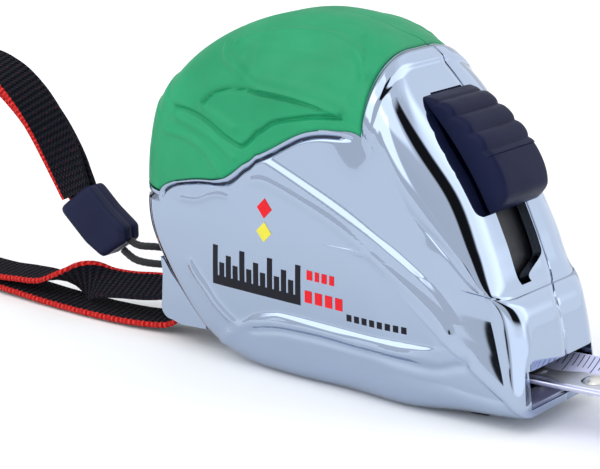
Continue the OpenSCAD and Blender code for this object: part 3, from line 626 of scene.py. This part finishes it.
def shell(side, name):
    """A case half with its relief and inside skin. side is -1 for the right half, 1 for the left."""
    plateau, shoulder, mid, rest = len(SEAM_ROWS), 26, 26, 64
    eps = .004
    s = np.unique(np.r_[np.linspace(0, 31, 621)[:-1], GRIP_FROM - .10, GRIP_FROM - .06, GRIP_FROM - .03,
                        GRIP_FROM - eps, GRIP_TO + eps, GRIP_TO + .04, GRIP_TO + .09])
    p, inset, r = surface(s, plateau, shoulder, mid, rest)
    n = normals(p, True)
    l, _ = rib_line(r)
    outside = inset - (r[:, 5] * l)[None, :]
    in_range = ((s >= GRIP_FROM) & (s <= GRIP_TO))[None, :]
    h = np.where(in_range & (outside < -.15), -GRIP_T - .02, 0.0)
    # groove along the grip's lower border
    span = (ramp(s, GRIP_FROM + .2, GRIP_FROM + 1.2) * ramp(-s, -GRIP_TO - .2, -GRIP_TO + .1))[None, :]
    seam = np.where(outside > 0, 1, 0) * span * soft(outside - 1.0, .36)
    h += -.5 * seam
    # step below the grip's rear end
    rear = np.where(outside <= 0, 1, 0) * (-.7 * soft((s - 18.26) / .075))[None, :]
    h += rear
    # collar in front of the grip
    collar = ramp(s, 8.45, 8.62) * ramp(-s, -GRIP_FROM, -GRIP_FROM + .14)
    h += (.55 * collar)[None, :] * ramp(-inset, -14, -10)
    # relief of the side face
    side_mask = ramp(inset, r[:, 2] * .75, r[:, 2] * 1.05)
    d, above = flat_away(p, DIAGONAL), flat_above(p, DIAGONAL)
    fade = ramp(p[..., 0], -12.5, -9.5) * ramp(-p[..., 0], -30, -20)
    signed = np.where(above > 0, d, -d)
    h += -.46 * ramp(signed, -.3, 1.1) * ramp(-signed, -22, -2) * fade * side_mask
    d, above = flat_away(p, PANEL_LOW), flat_above(p, PANEL_LOW)
    fade = ramp(p[..., 0], -15, -10) * ramp(-p[..., 0], -29, -24)
    signed = np.where(above < 0, d, -d)
    h += .50 * ramp(signed, -.3, .7) * ramp(-signed, -9, -2.5) * fade * side_mask
    h += .2 * soft(flat_away(p, INNER_EDGE), .9) * side_mask
    h += .5 * soft(flat_away(p, CREST), .9) * ramp(inset, 1, 3) * ramp(-p[..., 0], -27, -18)
    h += -.5 * soft(away(p, line(SWOOSH_LOW)), 1.0) * side_mask
    h += .5 * soft(away(p, line(REAR_LINE)), .8) * side_mask * ramp(-p[..., 2], -19.4, -16.5)
    h += .20 * soft(away(p, line(UNDER_LINE)), .5) * side_mask
    h += -.08 * soft(away(p, line(CREASE)), .3)
    # fine groove where the halves meet, and the ledge over the nose
    h[0] -= .26
    h[1] -= .12
    h += -.22 * soft((s - 3.52) / .045)[None, :] * ramp(-inset, -7, -5)
    p = p + n * h[..., None]
    rows, cols = p.shape[:2]
    pts = p.reshape(-1, 3).tolist()
    faces = grid_faces(rows, cols, wrap=True)
    # faces deep in the groove take the second material, which is painted shade
    gap = (seam > .55).reshape(-1)
    gap_painted_shade = [all(gap[k] for k in f) for f in faces]
    # apex of the outside
    pts.append((0, -FACE, SPINE_Z))
    top = len(pts) - 1
    last = (rows - 1) * cols
    faces += [[last + j, last + (j + 1) % cols, top] for j in range(cols)]
    # inside skin
    pi, ii, ri = surface(s, 2, 7, 4, 7, .96)
    ni = normals(pi, True)
    sunk = np.where(in_range & (ii < (ri[:, 5] * l)[None, :] - .1), GRIP_T, 0.0)
    pi = pi - ni * (WALL + sunk)[..., None]
    pi[0, :, 1] = ri[:, 6]
    start = len(pts)
    pts += pi.reshape(-1, 3).tolist()
    inner_rows = len(pi)
    faces += grid_faces(inner_rows, cols, start, wrap=True, flip=True)
    pts.append((0, -FACE + WALL, SPINE_Z))
    inner_top = len(pts) - 1
    last = start + (inner_rows - 1) * cols
    faces += [[last + (j + 1) % cols, last + j, inner_top] for j in range(cols)]
    faces += [[(j + 1) % cols, j, start + j, start + (j + 1) % cols] for j in range(cols)]
    pts = np.array(pts)
    if side > 0:
        # the far half is mirrored but keeps the same seam line
        pts[:, 1] *= -1
        pts[:plateau * cols, 1] = seam_y(r, plateau)
        pts[start:start + cols, 1] = ri[:, 6]
    obj = new_object(name, pts, faces, None, 35, chrome)
    obj.data.materials.append(seam_painted_shade)
    gap_painted_shade += [False] * (len(faces) - len(gap_painted_shade))
    obj.data.polygons.foreach_set("material_index", np.array(gap_painted_shade, np.int32))
    return obj


def box_cutter(name, low, high):
    x0, y0, z0 = low
    x1, y1, z1 = high
    p = [(x, y, z) for x in (x0, x1) for y in (y0, y1) for z in (z0, z1)]
    f = [(0, 1, 3, 2), (4, 6, 7, 5), (0, 4, 5, 1), (2, 3, 7, 6), (0, 2, 6, 4), (1, 5, 7, 3)]
    return new_object(name, p, [list(q) for q in f], None, 30)


# centre and radius of the thumb lock's track
TRACK, TRACK_R = (-26.0, 4.0), 62.0


def slot_cutter():
    """Slot along the thumb lock's curved track, narrower at its lower end."""
    outline = [(a, -4.8, 4.8) for a in (50.8, 46, 40, 34, 28, 23.2)]
    outline += [(21.2, -4.8, 4.4), (19.7, -4.8, .6), (18.9, -4.8, -1.3), (17.9, -4.6, -1.5)]
    dense = catmull(outline, 3)
    pts = []
    for a, y0, y1 in dense:
        c, s = math.cos(math.radians(a)), math.sin(math.radians(a))
        for rad, y in ((56.6, y0), (56.6, y1), (68, y1), (68, y0)):
            pts.append((TRACK[0] + rad * c, y, TRACK[1] + rad * s))
    return new_object("slot_cutter", pts, tube_faces(len(dense), 4), None, 30)


def rod_cutter(x, z, radius, y0, y1):
    m = 40
    pts = [(x + radius * math.cos(2 * math.pi * k / m), y, z + radius * math.sin(2 * math.pi * k / m))
           for y in (y0, y1) for k in range(m)]
    return new_object("rod_cutter", pts, prism_faces(m), None, 30)


# case screws as x, z and y of the head
SCREWS = [(-28.6, 50.1, 12.8), (-34.4, 21.4, 14.6), (26.5, 16.0, 14.6), (5.4, 54.9, 11.8)]


def openings():
    """Fresh cutters for the mouth, the brake's hole, the flat bottom and the lock's slot."""
    return [box_cutter("mouth_cutter", (33, -10.5, 4.5), (43, 10.5, 10.9)),
            box_cutter("brake_cutter", (22.1, -7.8, -2), (30.9, 7.8, 4.6)),
            box_cutter("floor_cutter", (-60, -30, -3), (60, 30, 0)), slot_cutter()]


case_right, case_left = shell(-1, "case_half_right"), shell(1, "case_half_left")
cut(case_right, openings(), 38, chrome)
cut(case_left, openings() + [rod_cutter(x, z, 2.0, y - 2.2, 24) for x, z, y in SCREWS[1:3]], 38, chrome)
for obj, n in ((case_right, "right_shell"), (case_left, "left_shell")):
    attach(obj, "case")
    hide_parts(n)


# ---------------------------------------------------------------- grip
def grip(side, name):
    """A grip half with its moulded relief, side as for shell."""
    plateau, shoulder, mid = len(SEAM_ROWS), 40, 66
    s = np.linspace(GRIP_FROM + .006, GRIP_TO - .006, 330)
    p, inset, r = surface(s, plateau, shoulder, mid, 0)
    n = normals(p, False)
    l, _ = rib_line(r)
    to_edge = (r[:, 5] * l)[None, :] - inset
    run = run_length(r[:, :2])
    h = .85 * soft(away(p, line(RIDGE)), .85)
    # broad hollow between the ridge and the oval's upper edge
    inside = ramp(inset, 2.6, 4.6) * ramp(-s, -12.75, -12.35)[None, :] * ramp(s, 9.2, 10.2)[None, :]
    h += -.95 * inside * ramp(-inset, -12.2, -9.0)
    h += .62 * soft(away(p, line(OVAL)), .85)
    h += -.62 * soft(away(p, line(DIAMOND_TOP)), .40)
    h += .45 * soft(away(p, line(DIAMOND_LOW)), .9)
    h += -.70 * soft(away(p, line(GROOVE)), .40)
    h += .5 * soft(away(p, line(STRIPE)), .75)
    h += .4 * soft(away(p, line(STRIPE_2)), .7)
    # two steps at the back, which show in the outline
    for at, high in ((15.36, .34), (15.92, .30)):
        h += (high * ramp(s, at - .05, at + .05) * ramp(-s, -at - 1.1, -at - .2))[None, :] * ramp(-inset, -10, -4)
    # fine moulding line along the seam and a groove across the top end
    h += -.30 * soft(away(p, line([(10.3, 1.0), (9.95, 2.4), (9.55, 4.4)])), .45)
    h += -.18 * soft(away(p, line([(12.6, .4), (11.4, .4), (10.4, .6)])), .22)
    # rounded border
    near = np.minimum(to_edge, np.minimum(run, run[-1] - run)[None, :])
    e = np.clip(near / .9, 0, 1)
    h -= .8 * (1 - np.sqrt(1 - (1 - e) ** 2))
    h = np.maximum(h, -1.3)
    h[0] -= .22
    h[1] -= .1
    top = p + n * h[..., None]
    low = p - n * (GRIP_T - .03)
    rows, cols = inset.shape
    k = rows * cols
    pts = np.vstack([top.reshape(-1, 3), low.reshape(-1, 3)])
    faces = grid_faces(rows, cols) + grid_faces(rows, cols, k, flip=True)
    for j in range(cols - 1):
        faces.append([j + 1, j, k + j, k + j + 1])
        b = (rows - 1) * cols
        faces.append([b + j, b + j + 1, k + b + j + 1, k + b + j])
    for i in range(rows - 1):
        a, b = i * cols, (i + 1) * cols
        faces.append([a, b, k + b, k + a])
        faces.append([b + cols - 1, a + cols - 1, k + a + cols - 1, k + b + cols - 1])
    if side > 0:
        pts[:, 1] *= -1
        for q in (0, k):
            pts[q:q + plateau * cols, 1] = seam_y(r, plateau)
    return new_object(name, pts, faces, None, 50, rubber)


grip_right, grip_left = grip(-1, "grip_half_right"), grip(1, "grip_half_left")
cut(grip_left, [rod_cutter(x, z, 2.7, 6, 24) for x, z, _ in (SCREWS[0], SCREWS[3])], 50, rubber)
for obj, n in ((grip_right, "right_grip"), (grip_left, "left_grip")):
    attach(obj, "case")
    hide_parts(n)


# ---------------------------------------------------------------- thumb pad
# angles of the pad's two ends and of the grooves between its ribs, in degrees along the track
PAD_FROM, PAD_TO, PAD_GROOVES = 29.6, 50.8, (38.3, 41.5, 45.0, 48.3)
PAD_HALF, PAD_CORNER = 7.5, 1.3


def pad_rise(a):
    """Height of the thumb pad above the track at angle a in degrees."""
    q = (a - 29.4) / 21.6
    body = 1.3 + 5.2 * np.sin(np.pi * np.clip(q, 0, 1) ** .72).clip(0) ** .55 * (1 - .45 * q)
    valley = sum(.62 * np.exp(-np.abs((a - c) / .62) ** 1.25) for c in PAD_GROOVES)
    hump = .25 * (q > .36) * (q < .97)
    flush = ramp(-a, -51.2, -47.5)
    return (body - valley + hump) * (.45 + .55 * flush)


def thumb_pad():
    angles = np.linspace(PAD_FROM, PAD_TO, 260)
    rings = []
    for a, top in zip(angles, pad_rise(angles)):
        end = min(1, (PAD_TO - a) / .8, (a - PAD_FROM) / 1.6)
        end = math.sqrt(max(0.0, 1 - (1 - end) ** 2))
        top = .5 + (top - .5) * (.35 + .65 * end)
        w = PAD_HALF - .5 * (1 - end)
        c = min(PAD_CORNER, (top - .4) * .6)
        prof = [(-w + .25, .4), (-w, .7 if top > 1.2 else .5)]
        for t in np.linspace(0, math.pi / 2, 9):
            prof.append((-w + c - c * math.cos(t), top - c + c * math.sin(t) - .12))
        for y in np.linspace(-w + c, w - c, 15)[1:-1]:
            prof.append((y, top - .12 + .12 * (1 - (y / w) ** 2)))
        for t in np.linspace(math.pi / 2, 0, 9):
            prof.append((w - c + c * math.cos(t), top - c + c * math.sin(t) - .12))
        prof += [(w, .7 if top > 1.2 else .5), (w - .25, .4)]
        ca, sa = math.cos(math.radians(a)), math.sin(math.radians(a))
        rings.append([(TRACK[0] + (TRACK_R + h) * ca, y, TRACK[1] + (TRACK_R + h) * sa) for y, h in prof])
    pts = [p for ring in rings for p in ring]
    obj = new_object("thumb_pad_ribbed", pts, tube_faces(len(rings), len(rings[0])), "lock", 42, navy)
    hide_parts("lock_thumb_pad")


thumb_pad()

# ---------------------------------------------------------------- blade and hook
# The blade leaves the mouth with a slight tilt. Its positions count x out of the mouth and z up from its underside.
MOUTH = np.array([39.0, 0, 6.2])
TILT = math.radians(3)
ALONG = np.array([math.cos(TILT), 0, math.sin(TILT)])
RISE = np.array([-math.sin(TILT), 0, math.cos(TILT)])
BLADE_R, BLADE_T, BLADE_BACK, BLADE_OUT = 16.0, .25, 31.0, 23.0
HALF_ANGLE = 9.5 / BLADE_R
INCH = 25.4


def at_mouth(x, y, z):
    return MOUTH + ALONG * x + np.array([0, 1, 0]) * y + RISE * z


def blade_point(x, turn_by, lift):
    """Point on the hollow blade: turn_by is the angle round its section, lift the height above its lower skin."""
    r = BLADE_R - lift
    return at_mouth(x, r * math.sin(turn_by), BLADE_R - r * math.cos(turn_by))


def blade():
    xs = np.unique(np.r_[np.linspace(-BLADE_BACK, BLADE_OUT, 109), BLADE_OUT - .3, BLADE_OUT - .1])
    turns = np.linspace(-HALF_ANGLE, HALF_ANGLE, 49)
    pts = []
    for x in xs:
        for t in turns:
            pts.append(blade_point(x, t, .02))
        for t in turns[::-1]:
            pts.append(blade_point(x, t, BLADE_T - .01))
    obj = new_object("blade_strip", pts, tube_faces(len(xs), 2 * len(turns)), "blade", 40, blade_paint)
    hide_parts("tape_blade")


blade()


def blade_marks():
    """Printed marks: millimetres along the +Y edge, sixteenths of an inch along the -Y edge."""
    pts, faces = [], []
    zero, edge, steps = BLADE_OUT + .6, 9.2, 5

    def mark(x, y0, y1):
        start = len(pts)
        for y in np.linspace(y0, y1, steps + 1):
            for dx in (-.085, .085):
                pts.append(blade_point(x + dx, y / BLADE_R, BLADE_T + .015))
        faces.extend([a, a + 1, a + 3, a + 2] for a in range(start, start + 2 * steps, 2))
    for k in range(1, 53):
        mark(zero - k, edge, edge - (6.6 if k % 10 == 0 else 4.9 if k % 5 == 0 else 3.0))
    for k in range(1, 34):
        mark(zero - k * INCH / 16, -edge, -edge + (3.6 if k % 8 == 0 else 2.4 if k % 4 == 0 else 1.5))
    obj = new_object("blade_graduations", pts, faces, "blade", 40, ink_black)


blade_marks()


TANG_HALF, TANG_T, RIVET_X = 3.8, .75, (-4, 7, 18)


def tang():
    """The hook's tang, with a narrow rounded tip, rolled edges and slotted holes for the rivets."""
    lift = 1.39
    pts = []
    outline = [(-6.5 + 2.0 * (1 - math.cos(a)), .5 + 1.9 * math.sin(a)) for a in np.linspace(0, math.pi / 2, 9)]
    outline += [(-2.5, 2.2)] + [(-1 + 5.0 * t, 2.1 + 1.7 * float(ramp(t, 0, 1))) for t in np.linspace(0, 1, 9)]
    outline += [(x, TANG_HALF) for x in (12, 20, 22.7)]
    for x, w in outline:
        for y, z in ((-w, lift), (-w + .12, lift + .12), (w - .12, lift + .12), (w, lift),
                     (w, lift - TANG_T + .15), (-w, lift - TANG_T + .15)):
            pts.append(at_mouth(x, y, z))
    obj = new_object("hook_tang", pts, tube_faces(len(outline), 6), None, 35, tang_metal)
    holes, m = [], 28
    for x in RIVET_X:
        ring = []
        for z in (0, 3):
            for k in range(m):
                a = 2 * math.pi * k / m
                ring.append(at_mouth(x + 1.04 * math.cos(a) + math.copysign(.5, math.cos(a)), 1.04 * math.sin(a), z))
        holes.append(new_object("hook_hole", ring, prism_faces(m), None, 30))
    cut(obj, holes, 35, tang_metal)
    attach(obj, "hook")
    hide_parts("end_hook")
    return obj


def lip():
    """The hook's lip, with rounded lower corners and a notch for the tang."""
    lip_x = BLADE_OUT + 1.2
    pts, ys = [], np.linspace(-8, 8, 33)
    for y in ys:
        round_off = 1 - math.sqrt(max(0.0, 1 - (max(0.0, abs(y) - 6.2) / 1.8) ** 2))
        low = -5.3 + 1.8 * round_off
        top = 1.25 if abs(y) < TANG_HALF + .01 else 3.1 - 1.2 * round_off
        for x, z in ((lip_x - .55, low + .1), (lip_x - .55, top - .1), (lip_x - .4, top), (lip_x + .45, top),
                     (lip_x + .58, top - .12), (lip_x + .58, low + .12), (lip_x + .45, low), (lip_x - .4, low)):
            pts.append(at_mouth(x, y, z))
    return new_object("hook_lip", pts, tube_faces(len(ys), 8), "hook", 35, nickel)


def bend():
    """Short bend that joins tang and lip. Its inside clears the blade's end when the hook is pushed in."""
    n, cols = 8, 4
    turns = np.linspace(0, math.pi / 2, n)
    outer = [(1.8 * math.sin(a), 1.92 * math.cos(a)) for a in turns]
    inner = [(1.05 * math.sin(a) ** .3, 1.24 * max(0.0, math.cos(a)) ** .25) for a in turns]
    pts = [at_mouth(22.6 + x, y, -.42 + z) for x, z in outer + inner for y in (-3.8, -3.6, 3.6, 3.8)]
    k = n * cols
    faces = grid_faces(n, cols) + grid_faces(n, cols, k, flip=True)
    for a in range(0, k - cols, cols):
        faces += [[a, a + cols, k + a + cols, k + a], [a + 7, a + 3, k + a + 3, k + a + 7]]
    for a in range(cols - 1):
        b = k - cols + a
        faces += [[a, a + 1, k + a + 1, k + a], [b + 1, b, k + b, k + b + 1]]
    return new_object("hook_bend", pts, faces, "hook", 35, nickel)


for o in (tang(), lip(), bend()):
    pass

# ---------------------------------------------------------------- printed marks on the right face
bm = bmesh.new()
bm.from_mesh(case_right.data)
tree = BVHTree.FromBMesh(bm)
bm.free()


def decal(name, polygons, ink):
    """Flat print that follows the right face. Polygons are lists of x, z in millimetres."""
    bm = bmesh.new()
    for poly in polygons:
        bm.faces.new([bm.verts.new((x * MM, 0, z * MM)) for x, z in poly])
    bmesh.ops.triangulate(bm, faces=bm.faces)
    for _ in range(5):
        long = [e for e in bm.edges if e.calc_length() > 1.0 * MM]
        if not long:
            break
        bmesh.ops.subdivide_edges(bm, edges=long, cuts=1, use_grid_fill=False)
        bmesh.ops.triangulate(bm, faces=bm.faces)
    for v in bm.verts:
        hit, normal, _, _ = tree.ray_cast(Vector((v.co.x, -.05, v.co.z)), Vector((0, 1, 0)))
        v.co.y = (hit.y if hit else -.018) - .00004
    mesh = bpy.data.meshes.new(name)
    bm.to_mesh(mesh)
    bm.free()
    obj = bpy.data.objects.new(name, mesh)
    bpy.context.scene.collection.objects.link(obj)
    mesh.polygons.foreach_set("use_smooth", [True] * len(mesh.polygons))
    mesh.materials.append(ink)
    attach(obj, "case")


def bar(x0, z0, x1, z1):
    return [(x0, z0), (x1, z0), (x1, z1), (x0, z1)]


# a bold ruler scale in place of the lettering
scale = [bar(-20.6 + 1.5 * k, 16.8, -19.5 + 1.5 * k, 22.4 if k % 4 == 0 else 20.9 if k % 2 == 0 else 19.4)
         for k in range(13)]
decal("print_ruler", [bar(-20.6, 15.2, -1.5, 16.9)] + scale, ink_black)
red_bars = [bar(x0, 20.2, x1, 21.9) for x0, x1 in ((-.2, 1.0), (1.5, 2.4), (2.9, 4.0), (4.5, 5.5))]
red_bars += [bar(x0, 16, x0 + 1.5, 18.2) for x0 in (-.6, 1.5, 3.6, 5.7)]
decal("print_red_bars", red_bars, ink_red)
dashes = [bar(8 + 1.55 * k, 14.5 + .02 * k, 9 + 1.55 * k, 15.7 + .02 * k) for k in range(8)]
decal("print_dashes", dashes, ink_black)
decal("print_mark_red", [[(-9.5, 29.2), (-7.9, 31), (-9.5, 32.8), (-11.1, 31)]], ink_red)
decal("print_mark_yellow", [[(-9.4, 25.0), (-7.8, 26.8), (-9.4, 28.6), (-11.0, 26.8)]], ink_yellow)

# ---------------------------------------------------------------- carried-over CAD nodes
PAINT = {
    "lock_slider": dark, "lock_detent_spring": bare_steel, "brake_button": navy, "brake_spring": bare_steel,
    "mouth_wear_plate": wear_metal, "spindle_post": post_metal, "reel_drum": reel_white,
    "reel_cover_disc": reel_white, "mainspring": bare_steel, "tape_coil": blade_paint, "blade_rivets": nickel,
    "case_screws": black_steel, "belt_clip": clip_chrome, "belt_clip_screw": black_steel,
    "strap_bracket": chrome, "strap_bar": chrome}
for name, m in PAINT.items():
    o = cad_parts[name]
    o.data.materials.clear()
    o.data.materials.append(m)
    o.data.polygons.foreach_set("use_smooth", [True] * len(o.data.polygons))
    o.data.set_sharp_from_angle(angle=math.radians(30))

# ---------------------------------------------------------------- floor and light
FLOOR_HALF = 6000
floor = new_object("floor", [(x * FLOOR_HALF, y * FLOOR_HALF, 0) for x, y in ((-1, -1), (1, -1), (1, 1), (-1, 1))],
                   [[0, 1, 2, 3]], None)
floor_mat = material("floor_white", (.93, .935, .94), .7)
link(floor_mat, tint(floor_mat, noise(floor_mat, 3, 2), (.92, .925, .93), (.94, .945, .95)),
     shader(floor_mat)["Base Color"])
floor.data.materials.append(floor_mat)

world = bpy.data.worlds.new("studio")
bpy.context.scene.world = world
world.use_nodes = True
wt = world.node_tree
sky = wt.nodes["Background"]


def wnode(op, a, b):
    """Maths node of the world. Inputs are sockets or numbers."""
    n = wt.nodes.new("ShaderNodeMath")
    n.operation = op
    for k, v in enumerate((a, b)):
        if isinstance(v, (int, float)):
            n.inputs[k].default_value = v
        else:
            wt.links.new(v, n.inputs[k])
    return n.outputs[0]


def wband(value, low0, low1, high0=None, high1=None):
    """1 between low1 and high0, with smooth sides. Without high0 it stays 1 above low1."""
    out = None
    for a, b, c, d in ((low0, low1, 0, 1), (high0, high1, 1, 0)):
        if a is None:
            continue
        n = wt.nodes.new("ShaderNodeMapRange")
        n.interpolation_type = "SMOOTHSTEP"
        for k, v in zip(("From Min", "From Max", "To Min", "To Max"), (a, b, c, d)):
            n.inputs[k].default_value = v
        wt.links.new(value, n.inputs["Value"])
        out = n.outputs["Result"] if out is None else wnode("MULTIPLY", out, n.outputs["Result"])
    return out


wc = wt.nodes.new("ShaderNodeTexCoord")
ws = wt.nodes.new("ShaderNodeSeparateXYZ")
wt.links.new(wc.outputs["Generated"], ws.inputs[0])
wx, wy, wz = ws.outputs
# azimuth in degrees, 0 along -Y and growing towards +X, and elevation as the height of the direction
azimuth = wnode("MULTIPLY", wnode("ARCTAN2", wx, wnode("MULTIPLY", wy, -1.0)), math.degrees(1))
# White panels that the plating reflects as bright streaks: azimuth band, height band, added strength.
WHITE = [((-62, -50, 20, 26), (.22, .30, .75, .85), 1.3),  # the bevels of the side
         ((106, 112, 140, 152), (.08, .18, .70, .78), .95),  # the slope's edge
         ((-40, -20, 66, 74), (.68, .74), .95),  # the slope's upper end
         ((42, 50, 112, 130), (-.12, -.06, .12, .20), .75),  # the nose's corner
         ((118, 140), (-.10, .0, .80, .92), .42)]  # the slope's flat
# Dark screens that it reflects as black streaks: the same, with the share of the light they take.
BLACK = [((74, 80, 104, 110), (.16, .22, .86, .92), .985),  # the slope's streak
         ((26.6, 28.2, 34, 40), (-.10, -.06, .07, .11), .985),  # the nose's streak
         ((-168, -140, -90, -62), (-.12, .0, .5, .8), .5)]  # the dimmer rear
level = wnode("ADD", 1.0, wnode("MULTIPLY", wband(wz, .45, .8), .08))
for round_it, height, more in WHITE:
    patch = wnode("MULTIPLY", wband(azimuth, *round_it), wband(wz, *height))
    level = wnode("ADD", level, wnode("MULTIPLY", patch, more))
for round_it, height, less in BLACK:
    patch = wnode("MULTIPLY", wband(azimuth, *round_it), wband(wz, *height))
    level = wnode("MULTIPLY", level, wnode("SUBTRACT", 1.0, wnode("MULTIPLY", patch, less)))
wt.links.new(level, sky.inputs["Strength"])
sky.inputs["Color"].default_value = (.97, .985, 1.0, 1)


def area(name, place, target, size, power):
    light = bpy.data.lights.new(name, "AREA")
    light.shape, light.size, light.energy = "SQUARE", size, power
    o = bpy.data.objects.new(name, light)
    bpy.context.scene.collection.objects.link(o)
    o.location = place
    o.rotation_euler = (Vector(target) - Vector(place)).to_track_quat("-Z", "Y").to_euler()


area("key", (-.45, -.5, .9), (0, 0, .03), .5, .6)
area("top", (.1, .2, 1.2), (0, 0, .03), .8, .3)
bpy.context.scene.view_settings.view_transform = "Standard"
